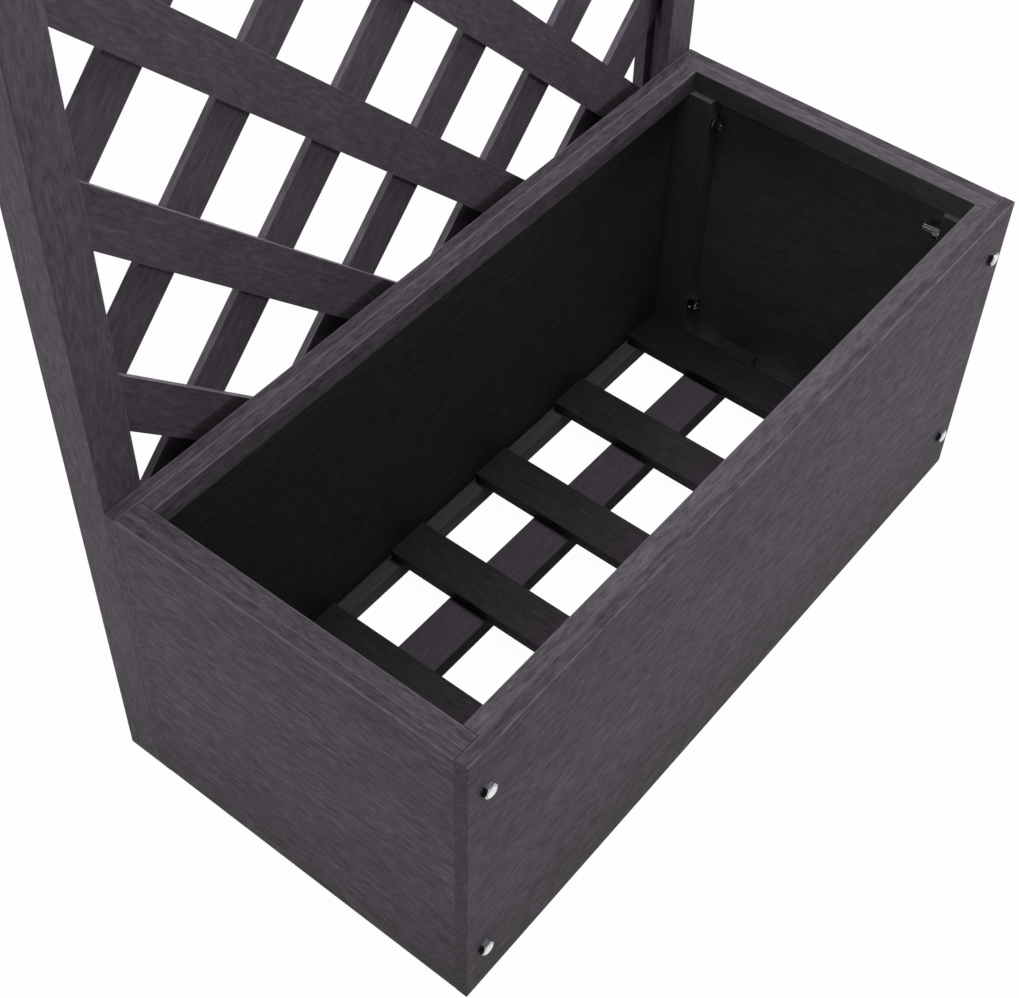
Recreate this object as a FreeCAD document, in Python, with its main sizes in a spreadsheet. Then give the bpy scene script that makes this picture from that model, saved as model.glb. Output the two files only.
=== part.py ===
import FreeCAD, Part
import Sketcher
import math
import os

# Planter box with a trellis behind it. Millimetres; +Z up; X along the planter, front face at -Y;
# origin on the ground under the middle of the whole object.

os.makedirs("parts", exist_ok=True)
doc = FreeCAD.newDocument("planter_with_trellis")

SIZES = {
    # planter box
    "planter_length": 600.0,
    "planter_depth": 277.0,
    "board_height": 270.0,
    "board_thickness": 9.0,
    "corner_post_width": 16.0,
    "corner_post_depth": 30.0,
    "rim_batten_thickness": 11.0,
    "rim_batten_height": 18.0,
    # slatted floor
    "bearer_height": 16.0,
    "edge_bearer_width": 12.5,
    "middle_bearer_width": 35.0,
    "middle_bearer_spacing": 103.4,
    "floor_slat_width": 37.0,
    "floor_slat_thickness": 10.0,
    "floor_slat_count": 6,
    "floor_slat_end_gap": 3.0,
    "floor_slat_side_gap": 5.25,
    # trellis frame
    "trellis_post_width": 30.0,
    "trellis_post_depth": 30.0,
    "trellis_rail_height": 30.0,
    "bottom_rail_rim_distance": 60.4,
    "groove_setback": 9.6,
    "groove_depth": 8.0,
    "groove_side_clearance": 0.2,
    "groove_end_clearance": 0.5,
    # lattice
    "lattice_slat_width": 33.0,
    "lattice_slat_thickness": 5.2,
    "lattice_pitch": 140.0,
    "lattice_row_count": 7,
    "lattice_offset": 2.4,
    # roundings of the long edges
    "board_rounding": 0.6,
    "batten_rounding": 0.6,
    "floor_rounding": 1.0,
    "trellis_rounding": 1.0,
    # bolts, washers and nuts
    "bolt_diameter": 6.0,
    "bolt_hole_clearance": 0.5,
    "bolt_thread_clearance": 0.1,
    "bolt_lower_height": 45.0,
    "bolt_rim_distance": 40.0,
    "front_bolt_end_beyond_nut": 9.2,
    "rear_bolt_end_beyond_nut": 1.0,
    "bolt_end_chamfer": 0.8,
    "hex_across_flats": 10.0,
    "hex_face_diameter": 8.0,
    "bolt_head_height": 4.0,
    "nut_height": 5.2,
    "washer_diameter": 12.0,
    "washer_thickness": 1.6,
    # hidden pins between the timbers
    "pin_diameter": 3.0,
    "pin_reach": 5.0,
    "pin_end_distance": 40.0,
    "post_pin_count": 3,
    "long_rim_pin_count": 5,
    "short_rim_pin_count": 3,
    "bearer_pin_count": 4,
    "lattice_pin_diameter": 2.0,
    "lattice_pin_reach": 3.5,
    "pin_clearance": 0.1,
}

sheet = doc.addObject("Spreadsheet::Sheet", "sizes")
for row, (alias, value) in enumerate(SIZES.items(), start=1):
    sheet.set(f"A{row}", alias)
    sheet.set(f"B{row}", str(value))
    sheet.setAlias(f"B{row}", alias)
doc.recompute()


def number(expression):
    """The value of an expression of the sheet's sizes."""
    return float(sheet.evalExpression(expression))


# Planes of the object, as expressions of the sizes.
OVERALL_DEPTH = "(sizes.planter_depth + sizes.trellis_post_depth)"
LEFT = "(-sizes.planter_length / 2)"
RIGHT = "(sizes.planter_length / 2)"
FRONT = f"(-{OVERALL_DEPTH} / 2)"
BACK = f"({FRONT} + sizes.planter_depth)"
REAR = f"({BACK} + sizes.trellis_post_depth)"
INNER_LEFT = f"({LEFT} + sizes.board_thickness)"
INNER_RIGHT = f"({RIGHT} - sizes.board_thickness)"
INNER_FRONT = f"({FRONT} + sizes.board_thickness)"
INNER_BACK = f"({BACK} - sizes.board_thickness)"
INNER_LENGTH = "(sizes.planter_length - 2 * sizes.board_thickness)"
INNER_DEPTH = "(sizes.planter_depth - 2 * sizes.board_thickness)"
DEPTH_CENTRE = f"({FRONT} + sizes.planter_depth / 2)"
RIM_UNDERSIDE = "(sizes.board_height - sizes.rim_batten_height)"
RIM_CENTRE = "(sizes.board_height - sizes.rim_batten_height / 2)"
POST_CENTRE_FRONT = f"({INNER_FRONT} + sizes.corner_post_depth / 2)"
POST_CENTRE_BACK = f"({INNER_BACK} - sizes.corner_post_depth / 2)"
TONGUE_LENGTH = "(sizes.groove_depth - sizes.groove_end_clearance)"
BOTTOM_RAIL_TOP = "(sizes.board_height - sizes.bottom_rail_rim_distance)"
BOTTOM_RAIL_UNDERSIDE = f"({BOTTOM_RAIL_TOP} - sizes.trellis_rail_height)"
PANEL_BOTTOM = f"({BOTTOM_RAIL_TOP} - {TONGUE_LENGTH})"
PANEL_HEIGHT = "(sizes.lattice_pitch * sizes.lattice_row_count)"
TOP_RAIL_UNDERSIDE = f"({PANEL_BOTTOM} + {PANEL_HEIGHT} - {TONGUE_LENGTH})"
TRELLIS_HEIGHT = f"({TOP_RAIL_UNDERSIDE} + sizes.trellis_rail_height)"
BOLT_HEIGHTS = ["sizes.bolt_lower_height", "(sizes.board_height - sizes.bolt_rim_distance)"]
BOLT_LEFT = f"({INNER_LEFT} + sizes.corner_post_width / 2)"
BOLT_RIGHT = f"({INNER_RIGHT} - sizes.corner_post_width / 2)"

AXES = {"x": FreeCAD.Vector(1, 0, 0), "y": FreeCAD.Vector(0, 1, 0), "z": FreeCAD.Vector(0, 0, 1)}
TURN_TO = {
    "x": FreeCAD.Rotation(FreeCAD.Vector(0, 1, 0), 90),
    "y": FreeCAD.Rotation(FreeCAD.Vector(1, 0, 0), -90),
    "-y": FreeCAD.Rotation(FreeCAD.Vector(1, 0, 0), 90),
    "z": FreeCAD.Rotation(),
}
nodes = []


def place(item, corner, rotation=FreeCAD.Rotation()):
    """Binds an object's position to three expressions."""
    item.Placement = FreeCAD.Placement(FreeCAD.Vector(), rotation)
    for axis, value in zip("xyz", corner):
        item.setExpression(f".Placement.Base.{axis}", value)


def add_rectangle(sketch, width, depth):
    """A fully constrained rectangle, with its lower left corner at the origin."""
    w = number(width)
    d = number(depth)
    corners = [FreeCAD.Vector(x, y, 0) for x, y in ((0, 0), (w, 0), (w, d), (0, d))]
    for i in range(4):
        sketch.addGeometry(Part.LineSegment(corners[i], corners[(i + 1) % 4]), False)
    for i in range(4):
        sketch.addConstraint(Sketcher.Constraint("Coincident", i, 2, (i + 1) % 4, 1))
    for side, direction in enumerate(("Horizontal", "Vertical", "Horizontal", "Vertical")):
        sketch.addConstraint(Sketcher.Constraint(direction, side))
    sketch.addConstraint(Sketcher.Constraint("Coincident", 0, 1, -1, 1))
    for name, kind, side, value in (("width", "DistanceX", 0, width), ("depth", "DistanceY", 1, depth)):
        index = sketch.addConstraint(Sketcher.Constraint(kind, side, 1, side, 2, number(value)))
        sketch.renameConstraint(index, name)
        sketch.setExpression(f"Constraints.{name}", value)


def ground_sketch(body, name):
    """A sketch on the body's own XY plane."""
    sketch = body.newObject("Sketcher::SketchObject", name)
    plane = next(f for f in body.Origin.OriginFeatures if f.Role == "XY_Plane")
    sketch.AttachmentSupport = (plane, [""])
    sketch.MapMode = "FlatFace"
    return sketch


def timber(name, corner, extent, along, rounding):
    """A straight timber from its lower left front corner, with its four long edges rounded."""
    body = doc.addObject("PartDesign::Body", name)
    sketch = ground_sketch(body, f"{name}_outline")
    add_rectangle(sketch, extent[0], extent[1])
    pad = body.newObject("PartDesign::Pad", f"{name}_pad")
    pad.Profile = sketch
    pad.setExpression("Length", extent[2])
    place(body, corner)
    doc.recompute()
    long_edges = []
    for index, edge in enumerate(pad.Shape.Edges, start=1):
        if abs(edge.tangentAt(edge.FirstParameter).dot(AXES[along])) > 0.999:
            long_edges.append(f"Edge{index}")
    thinnest = "; ".join(f"0.45 * ({extent['xyz'.index(a)]})" for a in "xyz" if a != along)
    fillet = body.newObject("PartDesign::Fillet", f"{name}_rounding")
    fillet.Base = (pad, long_edges)
    fillet.setExpression("Radius", f"min({rounding}; {thinnest})")
    body.Tip = fillet
    return body


def box(name, corner, extent):
    item = doc.addObject("Part::Box", name)
    for side, value in zip(("Length", "Width", "Height"), extent):
        item.setExpression(side, value)
    place(item, corner)
    return item


def cylinder(name, start, axis, diameter, length):
    item = doc.addObject("Part::Cylinder", name)
    item.setExpression("Radius", f"({diameter}) / 2")
    item.setExpression("Height", length)
    place(item, start, TURN_TO[axis])
    return item


def compound(name, items):
    group = doc.addObject("Part::Compound", name)
    group.Links = items
    return group


def finish(item, node):
    """Makes an object one of the named pieces that are written out."""
    item.Label = node
    nodes.append(item)
    return item


def drilled(blank, node, bores):
    """The blank with the bores of its fasteners cut out of it."""
    cut = doc.addObject("Part::Cut", f"{node}_drilled")
    cut.Base = blank
    cut.Tool = compound(f"{node}_bores", bores) if len(bores) > 1 else bores[0]
    return finish(cut, node)


def pin_and_bore(name, centre, axis, diameter, reach):
    """A pin across a joint, half in each timber, and the slightly larger bore it lies in."""
    start = list(centre)
    index = "xyz".index(axis)
    start[index] = f"{centre[index]} - {reach}"
    pin = cylinder(f"{name}_pin", start, axis, diameter, f"2 * {reach}")
    start[index] = f"{centre[index]} - {reach} - sizes.pin_clearance / 2"
    bore = cylinder(
        f"{name}_bore", start, axis, f"{diameter} + sizes.pin_clearance",
        f"2 * {reach} + sizes.pin_clearance",
    )
    return pin, bore


def joint_pins(name, centres, axis, diameter="sizes.pin_diameter", reach="sizes.pin_reach"):
    """The pins and bores of one joint, at several centres."""
    pairs = [
        pin_and_bore(f"{name}_{i}", centre, axis, diameter, reach)
        for i, centre in enumerate(centres, start=1)
    ]
    return [pin for pin, bore in pairs], [bore for pin, bore in pairs]


def spread(start, end, count_name):
    """Evenly spaced positions from one pin's end distance inside a timber to the other's."""
    count = int(number(f"sizes.{count_name}"))
    first = f"({start} + sizes.pin_end_distance)"
    last = f"({end} - sizes.pin_end_distance)"
    return [f"({first} + ({last} - {first}) * {i} / {count - 1})" for i in range(count)]


# ------------------------------------------------------------------ bolts, washers and nuts

FRONT_GRIP = "(sizes.board_thickness + sizes.corner_post_depth)"
REAR_GRIP = "(sizes.trellis_post_depth + sizes.board_thickness + sizes.corner_post_depth)"
BORE_DIAMETER = "(sizes.bolt_diameter + sizes.bolt_hole_clearance)"
HEX_RADIUS = "sizes.hex_across_flats / sqrt(3)"


def from_head(start, direction, offset):
    """The Y of a point a distance down the bolt from the underside of its head."""
    sign = "+" if direction == "y" else "-"
    return f"{start} {sign} ({offset})"


def hexagon(name, x, y, z, direction, height):
    """A hexagonal block whose face at its start is turned down to a round face."""
    prism = doc.addObject("Part::Prism", f"{name}_prism")
    prism.Polygon = 6
    prism.setExpression("Circumradius", HEX_RADIUS)
    prism.setExpression("Height", height)
    place(prism, (x, y, z), TURN_TO[direction])
    cone = doc.addObject("Part::Cone", f"{name}_cone")
    cone.setExpression("Radius1", "sizes.hex_face_diameter / 2")
    cone.setExpression("Radius2", f"sizes.hex_face_diameter / 2 + {height} * sqrt(3)")
    cone.setExpression("Height", height)
    place(cone, (x, y, z), TURN_TO[direction])
    block = doc.addObject("Part::Common", name)
    block.Base = prism
    block.Tool = cone
    return block


def bolt(name, x, start, z, direction, grip, end_beyond_nut):
    """A hexagon head bolt: its shank runs through the timbers, a washer and a nut."""
    head_start = from_head(start, direction, "-sizes.bolt_head_height")
    head = hexagon(f"{name}_head", x, head_start, z, direction, "sizes.bolt_head_height")
    end = f"{grip} + sizes.washer_thickness + sizes.nut_height + {end_beyond_nut}"
    plain = f"{end} - sizes.bolt_end_chamfer"
    shank = cylinder(f"{name}_shank", (x, start, z), direction, "sizes.bolt_diameter", plain)
    tip = doc.addObject("Part::Cone", f"{name}_tip")
    tip.setExpression("Radius1", "sizes.bolt_diameter / 2")
    tip.setExpression("Radius2", "sizes.bolt_diameter / 2 - sizes.bolt_end_chamfer")
    tip.setExpression("Height", "sizes.bolt_end_chamfer")
    place(tip, (x, from_head(start, direction, plain), z), TURN_TO[direction])
    whole = doc.addObject("Part::MultiFuse", name)
    whole.Shapes = [head, shank, tip]
    return whole


def washer(name, x, start, z, direction, grip):
    """A washer under a nut."""
    y = from_head(start, direction, grip)
    disc = cylinder(
        f"{name}_disc", (x, y, z), direction, "sizes.washer_diameter", "sizes.washer_thickness"
    )
    hole = cylinder(f"{name}_hole", (x, y, z), direction, BORE_DIAMETER, "sizes.washer_thickness")
    ring = doc.addObject("Part::Cut", name)
    ring.Base = disc
    ring.Tool = hole
    return ring


def nut(name, x, start, z, direction, grip):
    """A nut whose turned face looks into the planter."""
    back = "-y" if direction == "y" else "y"
    outer = from_head(start, direction, f"{grip} + sizes.washer_thickness + sizes.nut_height")
    block = hexagon(f"{name}_block", x, outer, z, back, "sizes.nut_height")
    thread = cylinder(
        f"{name}_thread", (x, outer, z), back,
        "sizes.bolt_diameter + sizes.bolt_thread_clearance", "sizes.nut_height",
    )
    ring = doc.addObject("Part::Cut", name)
    ring.Base = block
    ring.Tool = thread
    return ring


bores = {}
bolts = {"front": [], "rear": []}
washers = []
nuts = []
for side, x in (("left", BOLT_LEFT), ("right", BOLT_RIGHT)):
    for level, z in zip(("lower", "upper"), BOLT_HEIGHTS):
        for end, start, direction, grip in (
            ("front", FRONT, "y", FRONT_GRIP),
            ("rear", REAR, "-y", REAR_GRIP),
        ):
            name = f"{end}_{side}_{level}"
            beyond = f"sizes.{end}_bolt_end_beyond_nut"
            bolts[end].append(bolt(f"bolt_{name}", x, start, z, direction, grip, beyond))
            washers.append(washer(f"washer_{name}", x, start, z, direction, grip))
            nuts.append(nut(f"nut_{name}", x, start, z, direction, grip))
            bores[name] = cylinder(f"bore_{name}", (x, start, z), direction, BORE_DIAMETER, grip)

finish(compound("front_bolt_group", bolts["front"]), "front_bolts")
finish(compound("rear_bolt_group", bolts["rear"]), "rear_bolts")
finish(compound("washer_group", washers), "bolt_washers")
finish(compound("nut_group", nuts), "bolt_nuts")


def bolt_bores(end, side=None):
    return [bore for name, bore in bores.items() if name.startswith(end) and (side or "") in name]


# ------------------------------------------------------------------ hidden pins

pins = {"board": [], "rim": [], "bearer": [], "floor_slat": [], "trellis_rail": [], "lattice": []}
pin_bores = {}


def pin_joint(group, name, centres, axis, **sizes):
    """Pins one joint and keeps its bores under the joint's name."""
    joint, pin_bores[name] = joint_pins(name, centres, axis, **sizes)
    pins[group].extend(joint)


# side boards to the corner posts, between the two bolts of each post
POST_PIN_COUNT = int(number("sizes.post_pin_count"))
POST_PIN_HEIGHTS = [
    f"({BOLT_HEIGHTS[0]} + ({BOLT_HEIGHTS[1]} - {BOLT_HEIGHTS[0]}) * {i} / {POST_PIN_COUNT + 1})"
    for i in range(1, POST_PIN_COUNT + 1)
]
for side, x in (("left", INNER_LEFT), ("right", INNER_RIGHT)):
    for end, y in (("front", POST_CENTRE_FRONT), ("back", POST_CENTRE_BACK)):
        pin_joint("board", f"{end}_{side}_post", [(x, y, z) for z in POST_PIN_HEIGHTS], "x")

# rim battens to the boards
RIM_ENDS = (
    f"({INNER_LEFT} + sizes.rim_batten_thickness)",
    f"({INNER_RIGHT} - sizes.rim_batten_thickness)",
)
for end, y in (("front", INNER_FRONT), ("back", INNER_BACK)):
    centres = [(x, y, RIM_CENTRE) for x in spread(*RIM_ENDS, "long_rim_pin_count")]
    pin_joint("rim", f"{end}_rim", centres, "y")
for side, x in (("left", INNER_LEFT), ("right", INNER_RIGHT)):
    centres = [(x, y, RIM_CENTRE) for y in spread(INNER_FRONT, INNER_BACK, "short_rim_pin_count")]
    pin_joint("rim", f"{side}_rim", centres, "x")

# floor bearers to the boards
BEARER_CENTRE = "(sizes.bearer_height / 2)"
BEARER_ENDS = (
    f"({INNER_LEFT} + sizes.corner_post_width)",
    f"({INNER_RIGHT} - sizes.corner_post_width)",
)
MIDDLE_BEARERS = {
    "front_middle": f"({DEPTH_CENTRE} - sizes.middle_bearer_spacing / 2)",
    "rear_middle": f"({DEPTH_CENTRE} + sizes.middle_bearer_spacing / 2)",
}
EDGE_BEARERS = {
    "front": f"({INNER_FRONT} + sizes.edge_bearer_width / 2)",
    "back": f"({INNER_BACK} - sizes.edge_bearer_width / 2)",
}
for end, y in (("front", INNER_FRONT), ("back", INNER_BACK)):
    centres = [(x, y, BEARER_CENTRE) for x in spread(*BEARER_ENDS, "bearer_pin_count")]
    pin_joint("bearer", f"{end}_bearer", centres, "y")
for end, y in MIDDLE_BEARERS.items():
    for side, x in (("left", INNER_LEFT), ("right", INNER_RIGHT)):
        pin_joint("bearer", f"{end}_bearer_{side}", [(x, y, BEARER_CENTRE)], "x")

# floor slats to the bearers
FLOOR_SLAT_COUNT = int(number("sizes.floor_slat_count"))
FLOOR_SLAT_LEFT = f"({INNER_LEFT} + sizes.corner_post_width + sizes.floor_slat_side_gap)"
FLOOR_SLAT_SPAN = (
    f"({INNER_LENGTH} - 2 * (sizes.corner_post_width + sizes.floor_slat_side_gap)"
    " - sizes.floor_slat_width)"
)
FLOOR_SLATS = [
    f"({FLOOR_SLAT_LEFT} + {FLOOR_SLAT_SPAN} * {i} / {FLOOR_SLAT_COUNT - 1})"
    for i in range(FLOOR_SLAT_COUNT)
]
for i, x in enumerate(FLOOR_SLATS, start=1):
    for bearer, y in {**EDGE_BEARERS, **MIDDLE_BEARERS}.items():
        centre = (f"{x} + sizes.floor_slat_width / 2", y, "sizes.bearer_height")
        pin_joint("floor_slat", f"{bearer}_slat_{i}", [centre], "z")

# trellis rails in the grooves of the trellis posts
LATTICE_THICKNESS = "(2 * sizes.lattice_slat_thickness)"
GROOVE_WIDTH = f"({LATTICE_THICKNESS} + 2 * sizes.groove_side_clearance)"
GROOVE_FRONT = f"({BACK} + sizes.groove_setback)"
LATTICE_FRONT = f"({GROOVE_FRONT} + sizes.groove_side_clearance)"
LATTICE_MIDDLE = f"({LATTICE_FRONT} + sizes.lattice_slat_thickness)"
LATTICE_REAR = f"({LATTICE_FRONT} + {LATTICE_THICKNESS})"
POST_FACE_LEFT = f"({LEFT} + sizes.trellis_post_width)"
POST_FACE_RIGHT = f"({RIGHT} - sizes.trellis_post_width)"
TONGUE_HEIGHT = "(sizes.trellis_rail_height - sizes.groove_depth)"
TONGUES = {
    "bottom": BOTTOM_RAIL_UNDERSIDE,
    "top": f"({TOP_RAIL_UNDERSIDE} + sizes.groove_depth)",
}
for rail, underside in TONGUES.items():
    for side, x in (
        ("left", f"({POST_FACE_LEFT} - sizes.groove_depth / 2)"),
        ("right", f"({POST_FACE_RIGHT} + sizes.groove_depth / 2)"),
    ):
        centre = (x, LATTICE_REAR, f"({underside} + {TONGUE_HEIGHT} / 2)")
        pin_joint("trellis_rail", f"{rail}_rail_{side}", [centre], "y")

# lattice slats at their crossings inside the frame
half_pitch = number("sizes.lattice_pitch / 2")
slat_reach = number("sizes.lattice_slat_width") / math.sqrt(2)
opening_bottom = number(f"{BOTTOM_RAIL_TOP} - {PANEL_BOTTOM}") + slat_reach
opening_top = number(f"{TOP_RAIL_UNDERSIDE} - {PANEL_BOTTOM}") - slat_reach
last_column = int((number(POST_FACE_RIGHT) - slat_reach) // half_pitch)
first_row = math.ceil(opening_bottom / half_pitch)
last_row = math.floor(opening_top / half_pitch)
crossings = [
    (column, row)
    for row in range(first_row, last_row + 1)
    for column in range(-last_column, last_column + 1)
    if (row - column) % 2 == 0
]
for column, row in crossings:
    centre = (
        f"(sizes.lattice_offset + sizes.lattice_pitch / 2 * ({column}))",
        LATTICE_MIDDLE,
        f"({PANEL_BOTTOM} + sizes.lattice_pitch / 2 * {row})",
    )
    pin_joint(
        "lattice", f"crossing_{column}_{row}".replace("-", "m"), [centre], "y",
        diameter="sizes.lattice_pin_diameter", reach="sizes.lattice_pin_reach",
    )

for group, items in pins.items():
    finish(compound(f"{group}_pin_group", items), f"{group}_pins")


def bores_of(*names):
    return [bore for name in names for bore in pin_bores[name]]


# ------------------------------------------------------------------ planter box

for end, y, bolt_end in (("front", FRONT, "front"), ("back", INNER_BACK, "rear")):
    blank = timber(
        f"{end}_board_blank", (LEFT, y, "0"),
        ("sizes.planter_length", "sizes.board_thickness", "sizes.board_height"),
        "x", "sizes.board_rounding",
    )
    drilled(blank, f"{end}_board", bolt_bores(bolt_end) + bores_of(f"{end}_rim", f"{end}_bearer"))
for side, x in (("left", LEFT), ("right", INNER_RIGHT)):
    blank = timber(
        f"{side}_board_blank", (x, INNER_FRONT, "0"),
        ("sizes.board_thickness", INNER_DEPTH, "sizes.board_height"),
        "y", "sizes.board_rounding",
    )
    joints = [f"{side}_rim", f"front_{side}_post", f"back_{side}_post"]
    joints += [f"{bearer}_bearer_{side}" for bearer in MIDDLE_BEARERS]
    drilled(blank, f"{side}_board", bores_of(*joints))

for end, y in (("front", INNER_FRONT), ("back", f"({INNER_BACK} - sizes.rim_batten_thickness)")):
    blank = timber(
        f"{end}_rim_batten_blank", (RIM_ENDS[0], y, RIM_UNDERSIDE),
        (
            f"({INNER_LENGTH} - 2 * sizes.rim_batten_thickness)",
            "sizes.rim_batten_thickness",
            "sizes.rim_batten_height",
        ),
        "x", "sizes.batten_rounding",
    )
    drilled(blank, f"{end}_rim_batten", bores_of(f"{end}_rim"))
for side, x in (("left", INNER_LEFT), ("right", f"({INNER_RIGHT} - sizes.rim_batten_thickness)")):
    blank = timber(
        f"{side}_rim_batten_blank", (x, INNER_FRONT, RIM_UNDERSIDE),
        ("sizes.rim_batten_thickness", INNER_DEPTH, "sizes.rim_batten_height"),
        "y", "sizes.batten_rounding",
    )
    drilled(blank, f"{side}_rim_batten", bores_of(f"{side}_rim"))

for end, y, bolt_end in (
    ("front", INNER_FRONT, "front"),
    ("back", f"({INNER_BACK} - sizes.corner_post_depth)", "rear"),
):
    for side, x in (
        ("left", INNER_LEFT),
        ("right", f"({INNER_RIGHT} - sizes.corner_post_width)"),
    ):
        blank = timber(
            f"{end}_{side}_post_blank", (x, y, "0"),
            ("sizes.corner_post_width", "sizes.corner_post_depth", RIM_UNDERSIDE),
            "z", "sizes.batten_rounding",
        )
        post_bores = bolt_bores(bolt_end, side) + bores_of(f"{end}_{side}_post")
        drilled(blank, f"{end}_{side}_corner_post", post_bores)

# ------------------------------------------------------------------ slatted floor

for end, y in (("front", INNER_FRONT), ("back", f"({INNER_BACK} - sizes.edge_bearer_width)")):
    blank = timber(
        f"{end}_bearer_blank", (BEARER_ENDS[0], y, "0"),
        (
            f"({INNER_LENGTH} - 2 * sizes.corner_post_width)",
            "sizes.edge_bearer_width",
            "sizes.bearer_height",
        ),
        "x", "sizes.floor_rounding",
    )
    joints = [f"{end}_bearer"] + [f"{end}_slat_{i + 1}" for i in range(FLOOR_SLAT_COUNT)]
    drilled(blank, f"{end}_floor_bearer", bores_of(*joints))
for end, centre in MIDDLE_BEARERS.items():
    blank = timber(
        f"{end}_bearer_blank", (INNER_LEFT, f"({centre} - sizes.middle_bearer_width / 2)", "0"),
        (INNER_LENGTH, "sizes.middle_bearer_width", "sizes.bearer_height"),
        "x", "sizes.floor_rounding",
    )
    joints = [f"{end}_bearer_left", f"{end}_bearer_right"]
    joints += [f"{end}_slat_{i + 1}" for i in range(FLOOR_SLAT_COUNT)]
    drilled(blank, f"{end}_floor_bearer", bores_of(*joints))
for i, x in enumerate(FLOOR_SLATS, start=1):
    blank = timber(
        f"floor_slat_{i}_blank",
        (x, f"({INNER_FRONT} + sizes.floor_slat_end_gap)", "sizes.bearer_height"),
        (
            "sizes.floor_slat_width",
            f"({INNER_DEPTH} - 2 * sizes.floor_slat_end_gap)",
            "sizes.floor_slat_thickness",
        ),
        "y", "sizes.floor_rounding",
    )
    joints = [f"{bearer}_slat_{i}" for bearer in {**EDGE_BEARERS, **MIDDLE_BEARERS}]
    drilled(blank, f"floor_slat_{i}", bores_of(*joints))

# ------------------------------------------------------------------ trellis frame

for side, x, groove_x in (
    ("left", LEFT, f"({POST_FACE_LEFT} - sizes.groove_depth)"),
    ("right", POST_FACE_RIGHT, POST_FACE_RIGHT),
):
    blank = timber(
        f"{side}_trellis_post_blank", (x, BACK, "0"),
        ("sizes.trellis_post_width", "sizes.trellis_post_depth", TRELLIS_HEIGHT),
        "z", "sizes.trellis_rounding",
    )
    groove = box(
        f"{side}_trellis_post_groove", (groove_x, GROOVE_FRONT, "0"),
        ("sizes.groove_depth", GROOVE_WIDTH, TRELLIS_HEIGHT),
    )
    cuts = [groove] + bolt_bores("rear", side) + bores_of(f"bottom_rail_{side}", f"top_rail_{side}")
    drilled(blank, f"{side}_trellis_post", cuts)

FRAME_WIDTH = "(sizes.planter_length - 2 * sizes.trellis_post_width)"
for rail, underside, groove_z in (
    ("bottom", BOTTOM_RAIL_UNDERSIDE, f"({BOTTOM_RAIL_TOP} - sizes.groove_depth)"),
    ("top", TOP_RAIL_UNDERSIDE, TOP_RAIL_UNDERSIDE),
):
    core = timber(
        f"{rail}_rail_core", (POST_FACE_LEFT, BACK, underside),
        (FRAME_WIDTH, "sizes.trellis_post_depth", "sizes.trellis_rail_height"),
        "x", "sizes.trellis_rounding",
    )
    tongue = box(
        f"{rail}_rail_tongue",
        (f"({POST_FACE_LEFT} - {TONGUE_LENGTH})", LATTICE_FRONT, TONGUES[rail]),
        (f"({FRAME_WIDTH} + 2 * {TONGUE_LENGTH})", LATTICE_THICKNESS, TONGUE_HEIGHT),
    )
    blank = doc.addObject("Part::Fuse", f"{rail}_rail_blank")
    blank.Base = core
    blank.Tool = tongue
    groove = box(
        f"{rail}_rail_groove", (POST_FACE_LEFT, GROOVE_FRONT, groove_z),
        (FRAME_WIDTH, GROOVE_WIDTH, "sizes.groove_depth"),
    )
    cuts = [groove] + bores_of(f"{rail}_rail_left", f"{rail}_rail_right")
    drilled(blank, f"{rail}_trellis_rail", cuts)

# ------------------------------------------------------------------ lattice

PANEL_LEFT = f"({POST_FACE_LEFT} - {TONGUE_LENGTH})"
PANEL_WIDTH = f"({FRAME_WIDTH} + 2 * {TONGUE_LENGTH})"
STRIP_LENGTH = f"({PANEL_WIDTH} * sqrt(2) + 2 * sizes.lattice_slat_width)"
panel = box(
    "lattice_panel_outline", (PANEL_LEFT, GROOVE_FRONT, PANEL_BOTTOM),
    (PANEL_WIDTH, GROOVE_WIDTH, PANEL_HEIGHT),
)
ALONG = f"(({STRIP_LENGTH} - sizes.lattice_slat_width) * sqrt(0.5) / 2)"
ACROSS = f"(({STRIP_LENGTH} + sizes.lattice_slat_width) * sqrt(0.5) / 2)"
LAYERS = {
    # name: (Y of the layer, slope of its slats, corner of a strip from its middle)
    "front": (LATTICE_FRONT, -1, f"- {ACROSS}", f"+ {ALONG}"),
    "rear": (LATTICE_MIDDLE, 1, f"- {ALONG}", f"- {ACROSS}"),
}


def lattice_lines(slope):
    """The lines of one layer whose slats reach well into the panel, in pitches above its bottom."""
    half_width = number(PANEL_WIDTH) / 2
    height = number(PANEL_HEIGHT)
    offset = number("sizes.lattice_offset")
    beyond = math.ceil(half_width / (2 * half_pitch))
    lines = []
    for line in range(-beyond, round(height / (2 * half_pitch)) + beyond + 1):
        middle = 2 * half_pitch * line
        ends = (slope * (0 - middle) + offset, slope * (height - middle) + offset)
        low, high = sorted(ends)
        chord = (min(high, half_width) - max(low, -half_width)) * math.sqrt(2)
        if chord > number("sizes.lattice_slat_width"):
            lines.append(line)
    return lines


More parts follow.
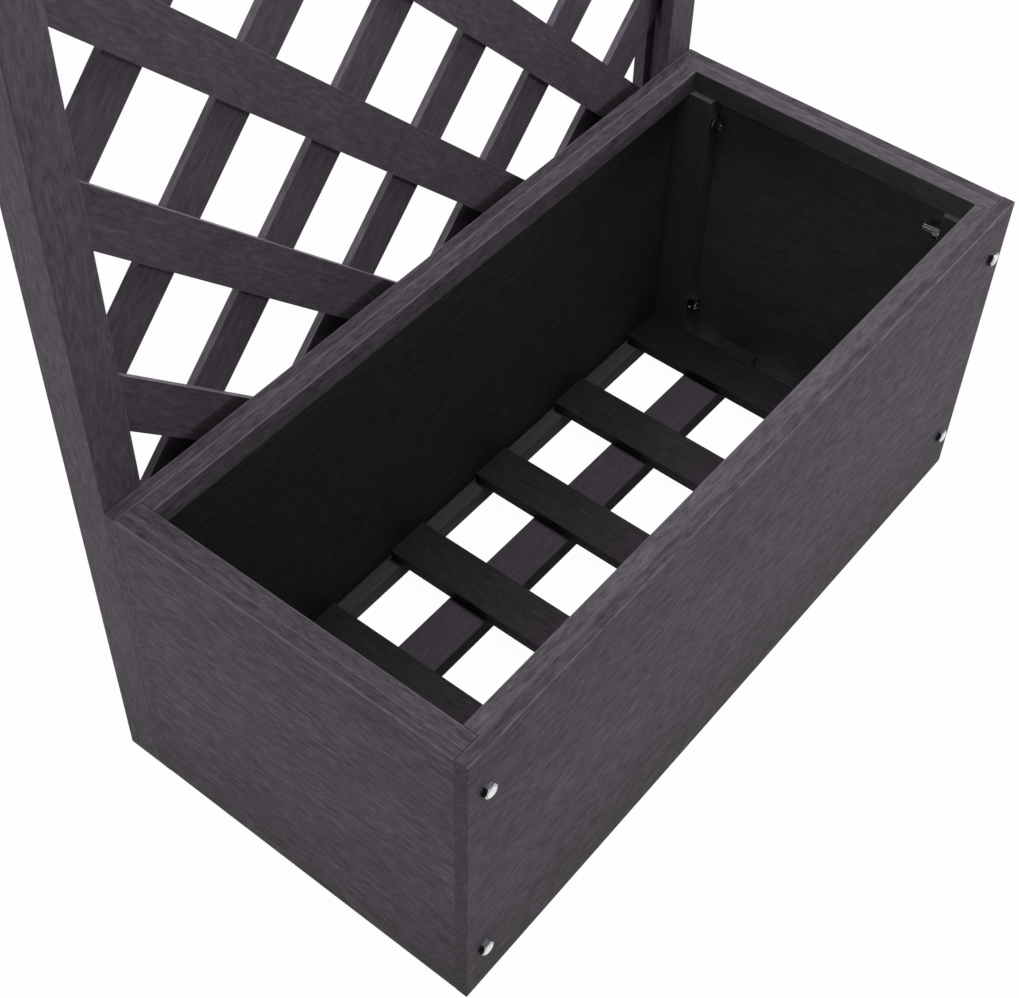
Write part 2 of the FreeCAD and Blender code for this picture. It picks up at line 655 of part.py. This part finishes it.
for layer, (y, slope, corner_x, corner_z) in LAYERS.items():
    for line in lattice_lines(slope):
        node = f"lattice_{layer}_slat_{line + 2:02d}"
        middle = f"{PANEL_BOTTOM} + sizes.lattice_pitch * ({line})"
        strip = doc.addObject("Part::Box", f"{node}_strip")
        strip.setExpression("Length", STRIP_LENGTH)
        strip.setExpression("Width", "sizes.lattice_slat_thickness")
        strip.setExpression("Height", "sizes.lattice_slat_width")
        turn = FreeCAD.Rotation(AXES["y"], -45 * slope)
        place(strip, (f"sizes.lattice_offset {corner_x}", y, f"{middle} {corner_z}"), turn)
        blank = doc.addObject("Part::Common", f"{node}_blank")
        blank.Base = strip
        blank.Tool = panel
        crossed = [
            f"crossing_{column}_{row}".replace("-", "m")
            for column, row in crossings
            if row - slope * column == 2 * line
        ]
        if crossed:
            drilled(blank, node, bores_of(*crossed))
        else:
            finish(blank, node)

# ------------------------------------------------------------------ checks and files

doc.recompute()
for item in doc.Objects:
    if "Invalid" in item.State or "Error" in item.State:
        raise RuntimeError(f"{item.Label} is {item.State}")
names = [item.Label for item in nodes]
if len(names) != len(set(names)):
    raise RuntimeError("two pieces share a name")
for item in nodes:
    shape = item.Shape
    if shape.isNull() or not shape.isValid() or not shape.Solids:
        raise RuntimeError(f"{item.Label} has no valid solid")
for item in nodes:
    item.Shape.exportStep(f"parts/{item.Label}.step")
    extent = item.Shape.BoundBox
    print(
        f"{item.Label:26s} {len(item.Shape.Solids):3d} solids {item.Shape.Volume / 1000:9.2f} cm3 "
        f"{extent.XLength:7.1f} x {extent.YLength:6.1f} x {extent.ZLength:7.1f}"
    )
print(len(nodes), "pieces")
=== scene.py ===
import math

import bpy
from mathutils import Matrix, Vector

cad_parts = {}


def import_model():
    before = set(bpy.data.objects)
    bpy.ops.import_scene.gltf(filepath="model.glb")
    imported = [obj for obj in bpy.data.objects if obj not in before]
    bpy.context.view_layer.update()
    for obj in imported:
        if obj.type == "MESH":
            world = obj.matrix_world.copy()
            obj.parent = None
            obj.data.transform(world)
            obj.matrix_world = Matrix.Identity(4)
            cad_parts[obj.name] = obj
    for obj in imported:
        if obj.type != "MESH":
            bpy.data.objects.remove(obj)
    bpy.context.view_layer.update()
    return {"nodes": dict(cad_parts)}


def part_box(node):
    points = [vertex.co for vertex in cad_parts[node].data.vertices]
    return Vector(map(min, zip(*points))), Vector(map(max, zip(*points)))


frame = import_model()

# ------------------------------------------------------------------ colours and sizes of the looks

# Lengths are metres, colours are linear. A tone of 0 is a stain's darkest grain and 1 its palest.
WHITE = (1.0, 1.0, 1.0, 1.0)
PLAIN_TONE = 0.5
NOISE_MIDDLE = 0.5
SEED_SHIFT = (1.37, 2.11, 0.73)
WOOD_SEEDS = (0.2, 0.61)
METAL_SEED_STEP = 0.37
STAIN = (0.0705, 0.0570, 0.0730)
PORE = (0.0245, 0.0208, 0.0254)
# painted shade: inner faces, corner posts and end bearers are painted this dark for the shade
# inside the planter
INSIDE_PAINTED_SHADE = (0.054, 0.0525, 0.054)
WOOD_STYLES = {
    # colour of the stain, strength of the grain, roughness
    "board": (STAIN, 1.3, 0.62),
    "post": ((0.080, 0.0665, 0.083), 0.9, 0.60),
    "rim": ((0.086, 0.0735, 0.089), 1.2, 0.56),
    "lattice": ((0.0765, 0.0640, 0.079), 0.85, 0.62),
    # inside: the painted shade inside the planter
    "inside": (INSIDE_PAINTED_SHADE, 0.5, 0.85),
    "floor": ((0.5, 0.5, 0.5), 0.8, 0.75),
    "bearer": ((0.063, 0.0525, 0.0655), 0.5, 0.62),
}
EDGE_WEAR_AND_HIGHLIGHT = {
    # colour of the rubbed long edges with a painted highlight on them, how much of it shows
    "board": ((0.165, 0.142, 0.170), 0.95),
    "post": ((0.120, 0.100, 0.124), 0.2),
    "rim": ((0.145, 0.123, 0.150), 0.95),
    "inside": ((0.070, 0.067, 0.070), 0.95),
    "floor": ((0.050, 0.045, 0.051), 0.2),
    "bearer": ((0.060, 0.050, 0.062), 0.2),
}
LIGHT_AND_SHADE_TONES = {
    # how much paler or darker than its style one timber is painted, as painted light and shade
    # where more or less light falls on it
    "back_board": -0.09,
    "back_rim_batten": -0.13,
    "left_rim_batten": -0.14,
    "front_rim_batten": 0.05,
    "right_rim_batten": 0.01,
    "back_right_corner_post": 0.18,
    "floor_slat_6": -0.5,
}
PAINTED_INSIDE_FACES = {
    # the way a timber's inner face looks, painted darker as shade, and how pale that painted shade
    # is, paler where more light falls on it
    "front_board": ((0.0, 1.0, 0.0), 1.0),
    "back_board": ((0.0, -1.0, 0.0), 0.75),
    "left_board": ((1.0, 0.0, 0.0), 1.0),
    "right_board": ((-1.0, 0.0, 0.0), 1.7),
    "right_rim_batten": ((-1.0, 0.0, 0.0), 1.25),
    "front_middle_floor_bearer": ((0.0, -1.0, 0.0), 0.2),
    "rear_middle_floor_bearer": ((0.0, -1.0, 0.0), 0.2),
}
INSIDE_CALM = 0.55
INSIDE_ROUGHNESS = 0.9
END_FACES = {
    # how pale the sawn ends of a board are
    "front_board": 0.62,
    "back_board": 1.1,
}
# the lattice slats' side faces are painted paler, as painted light falling on them
SAWN_EDGE_LIGHT = 1.75
# the middle bearers are painted darker near their ends, as shade next to the side walls
BEARER_END_PAINTED_SHADE = 0.45
BEARER_END_REACH = (0.036, 0.046)
# boards and posts are painted darker towards their foot as shade near the ground, over this height
# and by this much
FOOT_HEIGHT = 0.15
FOOT_PAINTED_SHADE = 0.36
RISE_PAINTED_LIGHT_HEIGHTS = (0.25, 0.60)
RISE_PAINTED_LIGHT = {
    # how much paler the upper part of the trellis is painted than its part behind the planter, as
    # painted light above and painted shade behind the planter
    "post": 0.20,
    "lattice": 0.07,
}
FLOOR_PAINTED_SHADE_PLACES = (0.11, -0.05)
FLOOR_PAINTED_SHADE = (
    # painted shade on the floor slats, darkest at the back: place between the back and the front,
    # colour there, doubled because the slats' stain is 0.5
    (0.0, (0.026, 0.026, 0.0264)),
    (0.45, (0.049, 0.0475, 0.0495)),
    (1.0, (0.090, 0.0735, 0.094)),
)
GRAIN_SHADES = (
    # tone, how pale the stain is there
    (0.0, 0.45),
    (PLAIN_TONE, 1.0),
    (1.0, 1.75),
)
GRAIN = {
    # stretch along the grain, scale, detail, roughness, distortion
    "fibre": (4.0, 400.0, 3.0, 0.6, 0.5),
    "thread": (9.0, 760.0, 2.0, 0.55, 0.3),
    "cloud": (2.2, 42.0, 3.0, 0.55, 0.6),
    "hair": (12.0, 290.0, 1.0, 0.5, 0.4),
}
GRAIN_WEIGHTS = {"fibre": 1.15, "thread": 0.7, "cloud": 0.4}
HAIR_RANGE = (0.63, 0.72)
HAIR_WEIGHT = 0.22
PORE_RANGE = (0.68, 0.76)
PORE_STRENGTH = 0.35
LATTICE_ANGLE = 45.0
FACING_RANGE = (0.5, 0.9)
ARRIS_WIDTH = 0.0012
ARRIS_CORE = 0.4
# worn patches along the arrises, which also carry a painted highlight
WEAR_AND_HIGHLIGHT_FIBRES = (0.3, 0.6)
WEAR_AND_HIGHLIGHT_LEAST = 0.4
SEAM_WIDTH = 0.0006
SEAM_CORE = 0.5
SEAM_STRENGTH = 0.6
SEAM_SHADE = 0.12
WOOD_SPECULAR = 0.12
ROUGHNESS_FIBRES = (0.3, 0.7)
ROUGHNESS_SWING = 0.06
# strength and distance of the bump, and what threads and pores add to the fibres' height
WOOD_BUMP = (0.3, 0.00035)
BUMP_THREAD = 0.5
BUMP_PORE = 0.4
# colours of the faces painted bright as a reflection and of the sides painted dark as a reflection,
# each between two patches of the plating
ZINC_PAINTED_HIGHLIGHT = ((0.84, 0.84, 0.86, 1.0), (0.62, 0.62, 0.65, 1.0))
ZINC_PAINTED_DARK = ((0.05, 0.05, 0.055, 1.0), (0.11, 0.11, 0.12, 1.0))
ZINC_SHIFT = (1.0, 0.5, 0.3)
# scale, detail and roughness of the plating's noises, and the ranges that are drawn from them
ZINC_SPANGLE = (900.0, 3.0, 0.6)
ZINC_DULL = (260.0, 2.0, 0.5)
ZINC_DULL_RANGE = (0.35, 0.7)
ZINC_SPANGLE_RANGE = (0.35, 0.65)
ZINC_ROUGHNESS = (0.3, 0.7, 0.13, 0.24)
# how squarely a face painted with a highlight looks along the bolt, or up
ZINC_ACROSS_HIGHLIGHT_RANGE = (0.75, 0.97)
ZINC_TOP_HIGHLIGHT_RANGE = (0.90, 0.98)
ZINC_BUMP = (0.12, 0.0001)

# ------------------------------------------------------------------ helpers for node materials


class Graph:
    """A small builder for the nodes of a material or of the world."""

    def __init__(self, tree, output_kind):
        self.tree = tree
        tree.nodes.clear()
        self.output = self.add(output_kind)

    def add(self, kind, **settings):
        node = self.tree.nodes.new(kind)
        for key, value in settings.items():
            setattr(node, key, value)
        return node

    def link(self, source, target):
        self.tree.links.new(source, target)

    def feed(self, socket, value):
        """A number or vector is typed into a socket, and another node's output is linked to it."""
        if isinstance(value, bpy.types.NodeSocket):
            self.link(value, socket)
        else:
            socket.default_value = value

    def math(self, operation, a, b=0.0, clamp=False):
        node = self.add("ShaderNodeMath", operation=operation, use_clamp=clamp)
        self.feed(node.inputs[0], a)
        self.feed(node.inputs[1], b)
        return node.outputs[0]

    def remap(self, value, low, high, to_low=0.0, to_high=1.0, smooth=False):
        node = self.add("ShaderNodeMapRange", clamp=True)
        node.interpolation_type = "SMOOTHSTEP" if smooth else "LINEAR"
        self.feed(node.inputs["Value"], value)
        for key, number in (
            ("From Min", low), ("From Max", high), ("To Min", to_low), ("To Max", to_high)
        ):
            node.inputs[key].default_value = number
        return node.outputs["Result"]

    def mix(self, factor, a, b, blend="MIX"):
        node = self.add("ShaderNodeMix", data_type="RGBA", blend_type=blend)
        self.feed(node.inputs[0], factor)
        self.feed(node.inputs[6], a)
        self.feed(node.inputs[7], b)
        return node.outputs[2]

    def noise(self, vector, scale, detail, roughness, distortion=0.0):
        node = self.add("ShaderNodeTexNoise", noise_dimensions="3D")
        self.feed(node.inputs["Vector"], vector)
        node.inputs["Scale"].default_value = scale
        node.inputs["Detail"].default_value = detail
        node.inputs["Roughness"].default_value = roughness
        node.inputs["Distortion"].default_value = distortion
        return node.outputs["Fac"]

    def axis(self, vector, index):
        """One coordinate of a vector."""
        split = self.add("ShaderNodeSeparateXYZ")
        self.link(vector, split.inputs[0])
        return split.outputs[index]

    def ramp(self, value, stops):
        """A colour ramp with its stops as places and colours."""
        node = self.add("ShaderNodeValToRGB")
        elements = node.color_ramp.elements
        first, *between, last = stops
        for element, (place, colour) in ((elements[0], first), (elements[1], last)):
            element.position = place
            element.color = colour
        for place, colour in between:
            elements.new(place).color = colour
        self.link(value, node.inputs["Fac"])
        return node.outputs["Color"]

    def bump(self, height, strength, distance):
        node = self.add("ShaderNodeBump")
        node.inputs["Strength"].default_value = strength
        node.inputs["Distance"].default_value = distance
        self.link(height, node.inputs["Height"])
        return node.outputs["Normal"]

    def seen_rays(self):
        """1 for the rays of the camera and of mirror images, 0 for the rays that carry light."""
        path = self.add("ShaderNodeLightPath")
        rays = self.math("MAXIMUM", path.outputs["Is Camera Ray"], path.outputs["Is Glossy Ray"])
        return self.math("MAXIMUM", rays, path.outputs["Is Transmission Ray"])

    def blend(self, factor, first, second):
        """The output shader, from one shader to another."""
        node = self.add("ShaderNodeMixShader")
        self.link(factor, node.inputs["Fac"])
        self.link(first, node.inputs[1])
        self.link(second, node.inputs[2])
        self.link(node.outputs[0], self.output.inputs["Surface"])


class MaterialGraph(Graph):
    """The nodes of a new material."""

    def __init__(self, name):
        self.material = bpy.data.materials.new(name)
        self.material.use_nodes = True
        super().__init__(self.material.node_tree, "ShaderNodeOutputMaterial")

    def surface(self, colour, roughness, normal):
        """The principled shader of the material's surface."""
        shader = self.add("ShaderNodeBsdfPrincipled")
        self.link(colour, shader.inputs["Base Color"])
        self.link(roughness, shader.inputs["Roughness"])
        self.link(normal, shader.inputs["Normal"])
        self.link(shader.outputs["BSDF"], self.output.inputs["Surface"])
        return shader


def shade(colour, factor=1.0):
    """A colour made paler or darker, with its alpha."""
    return (*[min(1.0, c * factor) for c in colour], 1.0)


# ------------------------------------------------------------------ wood


class Timber:
    """Coordinates of one timber's material, with the X axis laid along its grain."""

    def __init__(self, g, node, along, seed):
        self.g = g
        self.node = node
        self.along = along
        coords = g.add("ShaderNodeTexCoord")
        self.object = coords.outputs["Object"]
        self.normal = coords.outputs["Normal"]
        turn = {"x": (0, 0, 0), "y": (0, 0, -90), "z": (0, 90, 0)}.get(along, (0, along, 0))
        rotate = g.add("ShaderNodeMapping", vector_type="POINT")
        g.link(self.object, rotate.inputs["Vector"])
        rotate.inputs["Rotation"].default_value = [math.radians(a) for a in turn]
        rotate.inputs["Location"].default_value = [seed * step for step in SEED_SHIFT]
        self.place = rotate.outputs["Vector"]

    def grain(self, layer):
        """Noise drawn out along the grain, which reads as fibres."""
        stretch, *noise = GRAIN[layer]
        squeeze = self.g.add("ShaderNodeMapping", vector_type="POINT")
        self.g.link(self.place, squeeze.inputs["Vector"])
        squeeze.inputs["Scale"].default_value = (1.0 / stretch, 1.0, 1.0)
        return self.g.noise(squeeze.outputs["Vector"], *noise)

    def height(self):
        return self.g.axis(self.object, 2)

    def depths(self):
        """How far a point lies inside the timber's box, along each axis."""
        g = self.g
        split = g.add("ShaderNodeSeparateXYZ")
        g.link(self.object, split.inputs[0])
        low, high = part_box(self.node)
        return {
            axis: g.math(
                "MINIMUM",
                g.math("SUBTRACT", split.outputs[i], low[i]),
                g.math("SUBTRACT", high[i], split.outputs[i]),
            )
            for i, axis in enumerate("xyz")
        }

    def arris(self):
        """1 on the rounded long edges of a timber that lies along an axis."""
        g = self.g
        across = [depth for axis, depth in self.depths().items() if axis != self.along]
        inside = g.math("MAXIMUM", *across)
        return g.remap(inside, ARRIS_WIDTH * ARRIS_CORE, ARRIS_WIDTH, 1.0, 0.0)

    def end_line(self):
        """1 in a hair's breadth at the two ends of a timber, where it meets the next one."""
        g = self.g
        inside = self.depths()[self.along]
        line = g.remap(inside, SEAM_WIDTH * SEAM_CORE, SEAM_WIDTH, 1.0, 0.0)
        return g.math("MULTIPLY", line, g.math("SUBTRACT", 1.0, self.end_face()))

    def end_face(self):
        """1 on the sawn ends of a timber."""
        return self.facing([1.0 if axis == self.along else 0.0 for axis in "xyz"], both=True)

    def facing(self, direction, both=False):
        """1 on the surface that faces a direction, or also on the one that faces away from it."""
        g = self.g
        dot = g.add("ShaderNodeVectorMath", operation="DOT_PRODUCT")
        g.link(self.normal, dot.inputs[0])
        dot.inputs[1].default_value = direction
        value = dot.outputs["Value"]
        return g.remap(g.math("ABSOLUTE", value) if both else value, *FACING_RANGE)


def grain_tone(timber, layers, style, strength):
    """The tone of the stain: its grain, painted light and shade on some timbers, painted shade
    towards the foot, and painted light higher up the trellis.
    """
    g = timber.g
    tone = PLAIN_TONE + LIGHT_AND_SHADE_TONES.get(timber.node, 0.0)
    for layer, weight in GRAIN_WEIGHTS.items():
        swing = g.math("SUBTRACT", layers[layer], NOISE_MIDDLE)
        tone = g.math("ADD", g.math("MULTIPLY", swing, weight * strength), tone)
    # painted shade towards the foot of the boards and posts
    if style in ("board", "post"):
        foot = g.remap(timber.height(), 0.0, FOOT_HEIGHT, FOOT_PAINTED_SHADE, 0.0, smooth=True)
        tone = g.math("SUBTRACT", tone, foot)
    # painted light higher up the trellis
    if style in RISE_PAINTED_LIGHT:
        tone = g.math("ADD", tone, g.remap(timber.height(), *RISE_PAINTED_LIGHT_HEIGHTS, 0.0, RISE_PAINTED_LIGHT[style]))
    pale = g.math("MULTIPLY", g.remap(layers["hair"], *HAIR_RANGE), HAIR_WEIGHT * strength)
    return g.math("ADD", tone, pale, clamp=True)


def stained(g, tone, colour, factor=1.0):
    """A stain's colour at each tone."""
    base = [c * factor for c in colour]
    return g.ramp(tone, [(place, shade(base, value)) for place, value in GRAIN_SHADES])


def faces_colour(timber, style, stain, tone):
    """The stain of a timber, with painted shade on inner faces, on the floor slats and at the
    bearers' ends, painted light on the lattice's side faces, and its own colour on sawn ends.
    """
    g = timber.g
    colour = stained(g, tone, stain)
    # the floor slats' painted shade, darkest at the back of the planter
    if style == "floor":
        place = g.remap(g.axis(timber.object, 1), *FLOOR_PAINTED_SHADE_PLACES)
        painted_shade = g.ramp(place, [(stop, shade(c)) for stop, c in FLOOR_PAINTED_SHADE])
        colour = g.mix(1.0, colour, painted_shade, blend="MULTIPLY")
    # painted shade at the ends of the middle bearers
    if style == "bearer":
        shaded = g.remap(timber.depths()["x"], *BEARER_END_REACH, 1.0, 0.0)
        colour = g.mix(shaded, colour, stained(g, tone, INSIDE_PAINTED_SHADE, BEARER_END_PAINTED_SHADE))
    # inner faces painted darker as shade, paler on a face where more light falls
    if timber.node in PAINTED_INSIDE_FACES:
        direction, factor = PAINTED_INSIDE_FACES[timber.node]
        swing = g.math("MULTIPLY", g.math("SUBTRACT", tone, PLAIN_TONE), INSIDE_CALM)
        painted_shade = stained(g, g.math("ADD", swing, PLAIN_TONE), INSIDE_PAINTED_SHADE, factor)
        colour = g.mix(timber.facing(direction), colour, painted_shade)
    if timber.node in END_FACES:
        ends = stained(g, tone, stain, END_FACES[timber.node])
        colour = g.mix(timber.end_face(), colour, ends)
    # painted light on the lattice slats' side faces
    if style == "lattice":
        sawn = g.math("SUBTRACT", 1.0, timber.facing((0.0, 1.0, 0.0), both=True))
        colour = g.mix(sawn, colour, stained(g, tone, stain, SAWN_EDGE_LIGHT))
    return colour


def edge_colour(timber, style, fibre, colour):
    """Adds the worn long edges with a painted highlight on them, and the fine dark lines at the
    ends of a timber.
    """
    g = timber.g
    rubbed_and_lit, wear_and_highlight = EDGE_WEAR_AND_HIGHLIGHT[style]
    patches = g.remap(fibre, *WEAR_AND_HIGHLIGHT_FIBRES, wear_and_highlight * WEAR_AND_HIGHLIGHT_LEAST, wear_and_highlight)
    colour = g.mix(g.math("MULTIPLY", timber.arris(), patches), colour, shade(rubbed_and_lit))
    seam = g.math("MULTIPLY", timber.end_line(), SEAM_STRENGTH)
    return g.mix(seam, colour, shade(STAIN, SEAM_SHADE))


def wood(node, style, along, seed):
    """Brushed and stained softwood: fine fibres, pale hairs, pores, arrises and joint lines, with
    worn arrises that also carry a painted highlight, and painted light and shade on some faces.
    """
    stain, strength, rough = WOOD_STYLES[style]
    g = MaterialGraph(f"wood_{node}")
    timber = Timber(g, node, along, seed)
    layers = {layer: timber.grain(layer) for layer in GRAIN}
    fibre = layers["fibre"]
    thread = layers["thread"]
    tone = grain_tone(timber, layers, style, strength)
    pore = g.remap(thread, *PORE_RANGE)
    colour = faces_colour(timber, style, stain, tone)
    colour = g.mix(g.math("MULTIPLY", pore, PORE_STRENGTH), colour, shade(PORE))
    if style in EDGE_WEAR_AND_HIGHLIGHT:
        colour = edge_colour(timber, style, fibre, colour)
    if node in PAINTED_INSIDE_FACES:
        direction, _ = PAINTED_INSIDE_FACES[node]
        rough = g.remap(timber.facing(direction), 0.0, 1.0, rough, INSIDE_ROUGHNESS)
    swing = g.remap(fibre, *ROUGHNESS_FIBRES, -ROUGHNESS_SWING, ROUGHNESS_SWING)
    height = g.math("ADD", fibre, g.math("MULTIPLY", thread, BUMP_THREAD))
    height = g.math("SUBTRACT", height, g.math("MULTIPLY", pore, BUMP_PORE))
    shader = g.surface(colour, g.math("SUBTRACT", rough, swing), g.bump(height, *WOOD_BUMP))
    shader.inputs["Specular IOR Level"].default_value = WOOD_SPECULAR
    return g.material


# ------------------------------------------------------------------ metal


def zinc(name, seed):
    """Zinc plate with painted reflections: a painted highlight on the faces across the bolt and on
    top, and painted dark reflections on its other sides.
    """
    g = MaterialGraph(name)
    coords = g.add("ShaderNodeTexCoord")
    mapping = g.add("ShaderNodeMapping", vector_type="POINT")
    g.link(coords.outputs["Object"], mapping.inputs["Vector"])
    mapping.inputs["Location"].default_value = [seed * step for step in ZINC_SHIFT]
    place = mapping.outputs["Vector"]
    spangle = g.noise(place, *ZINC_SPANGLE)
    dull = g.noise(place, *ZINC_DULL)
    bright = g.mix(g.remap(dull, *ZINC_DULL_RANGE), *ZINC_PAINTED_HIGHLIGHT)
    dark = g.mix(g.remap(spangle, *ZINC_SPANGLE_RANGE), *ZINC_PAINTED_DARK)
    normal = coords.outputs["Normal"]
    across = g.remap(g.math("ABSOLUTE", g.axis(normal, 1)), *ZINC_ACROSS_HIGHLIGHT_RANGE)
    # painted highlight on the faces across the bolt and on top
    painted_highlight = g.math("MAXIMUM", across, g.remap(g.axis(normal, 2), *ZINC_TOP_HIGHLIGHT_RANGE))
    roughness = g.remap(spangle, *ZINC_ROUGHNESS)
    shader = g.surface(g.mix(painted_highlight, dark, bright), roughness, g.bump(spangle, *ZINC_BUMP))
    shader.inputs["Metallic"].default_value = 1.0
    return g.material


# ------------------------------------------------------------------ materials of the CAD nodes


def dress(node, material):
    mesh = frame["nodes"][node].data
    mesh.materials.clear()
    mesh.materials.append(material)


def timber_style(node):
    """The wood style and the grain's direction of a timber, from its name."""
    lengthwise = "x" if node.startswith(("front", "back")) else "y"
    if node.startswith("lattice_front"):
        return "lattice", -LATTICE_ANGLE
    if node.startswith("lattice_rear"):
        return "lattice", LATTICE_ANGLE
    if "trellis_post" in node:
        return "post", "z"
    # the corner posts inside the planter take the inside style's painted shade
    if "corner_post" in node:
        return "inside", "z"
    if "trellis_rail" in node:
        return "post", "x"
    if "rim_batten" in node:
        return "rim", lengthwise
    if "middle_floor_bearer" in node:
        return "bearer", "x"
    # the end bearers under the floor take the inside style's painted shade
    if "floor_bearer" in node:
        return "inside", "x"
    if "floor_slat" in node:
        return "floor", "y"
    return "board", lengthwise


METAL = ("bolts", "washers", "nuts", "pins")
first_seed, seed_step = WOOD_SEEDS
for index, node in enumerate(sorted(frame["nodes"])):
    if node.endswith(METAL):
        dress(node, zinc(f"zinc_{node}", METAL_SEED_STEP * index))
    else:
        style, along = timber_style(node)
        dress(node, wood(node, style, along, seed_step * index + first_seed))

# ------------------------------------------------------------------ floor, background and light

FLOOR_HALF = 6.0
FLOOR_COLOUR = (0.82, 0.82, 0.82, 1.0)
FLOOR_GLOW = 0.975
SKY_LEVEL = 0.2


def ground():
    """A plain pale floor that reads white beside the object and keeps its soft shadow."""
    mesh = bpy.data.meshes.new("studio_floor")
    signs = ((-1, -1), (1, -1), (1, 1), (-1, 1))
    mesh.from_pydata([(x * FLOOR_HALF, y * FLOOR_HALF, 0.0) for x, y in signs], [], [(0, 1, 2, 3)])
    floor = bpy.data.objects.new("studio_floor", mesh)
    bpy.context.scene.collection.objects.link(floor)
    g = MaterialGraph("studio_floor")
    diffuse = g.add("ShaderNodeBsdfDiffuse")
    diffuse.inputs["Color"].default_value = FLOOR_COLOUR
    glow = g.add("ShaderNodeEmission")
    glow.inputs["Color"].default_value = WHITE
    glow.inputs["Strength"].default_value = 1.0
    share = g.math("MULTIPLY", g.seen_rays(), FLOOR_GLOW)
    g.blend(share, diffuse.outputs["BSDF"], glow.outputs["Emission"])
    mesh.materials.append(g.material)


def world(level):
    """An even pale sky; it reads white where it is seen directly or mirrored."""
    sky = bpy.data.worlds.new("studio")
    bpy.context.scene.world = sky
    sky.use_nodes = True
    g = Graph(sky.node_tree, "ShaderNodeOutputWorld")
    sides = []
    for strength in (level, 1.0):
        side = g.add("ShaderNodeBackground")
        side.inputs["Color"].default_value = WHITE
        side.inputs["Strength"].default_value = strength
        sides.append(side.outputs["Background"])
    g.blend(g.seen_rays(), *sides)


def lamp(name, place, target, size, power):
    """A round soft lamp that looks at a point."""
    data = bpy.data.lights.new(name, "AREA")
    data.shape = "DISK"
    data.size = size
    data.energy = power
    item = bpy.data.objects.new(name, data)
    bpy.context.scene.collection.objects.link(item)
    item.location = place
    item.rotation_euler = (Vector(target) - Vector(place)).to_track_quat("-Z", "Y").to_euler()


LAMPS = {
    # place, point it looks at, size, power in watts
    "top_lamp": ((0.2, -0.01, 1.4), (0.1, -0.02, 0.2), 0.6, 11.5),
    "front_lamp": ((1.5, -2.3, 0.62), (0.0, 0.0, 0.3), 0.9, 18.5),
    "left_lamp": ((-1.8, 0.55, 0.34), (-0.3, 0.0, 0.2), 0.45, 7.4),
    "right_lamp": ((2.5, 0.3, 0.4), (0.0, 0.0, 0.2), 0.7, 12.0),
    "back_lamp": ((-0.4, 2.5, 0.4), (0.0, 0.0, 0.2), 0.7, 14.0),
}

ground()
world(SKY_LEVEL)
for name, settings in LAMPS.items():
    lamp(name, *settings)

# ------------------------------------------------------------------ camera at the photograph's view

FOCAL_PIXELS = 1830.67
PHOTO_WIDTH = 1019
SENSOR_WIDTH = 36.0
NEAREST_SEEN = 0.01
CAMERA_PLACE = Vector((-0.70371, -0.48488, 1.09679))
CAMERA_ROWS = Matrix((
    # the camera's right, down and forward directions
    (0.625077, -0.780327, 0.019229),
    (-0.583900, -0.483795, -0.651922),
    (0.518015, 0.396274, -0.758042),
))


def camera():
    data = bpy.data.cameras.new("photo_camera")
    data.sensor_fit = "HORIZONTAL"
    data.sensor_width = SENSOR_WIDTH
    data.lens = FOCAL_PIXELS / PHOTO_WIDTH * SENSOR_WIDTH
    data.clip_start = NEAREST_SEEN
    item = bpy.data.objects.new("photo_camera", data)
    bpy.context.scene.collection.objects.link(item)
    right, down, forward = CAMERA_ROWS
    turn = Matrix((right, -down, -forward)).transposed()
    item.matrix_world = Matrix.Translation(CAMERA_PLACE) @ turn.to_4x4()
    bpy.context.scene.camera = item


camera()
bpy.context.scene.view_settings.view_transform = "Standard"
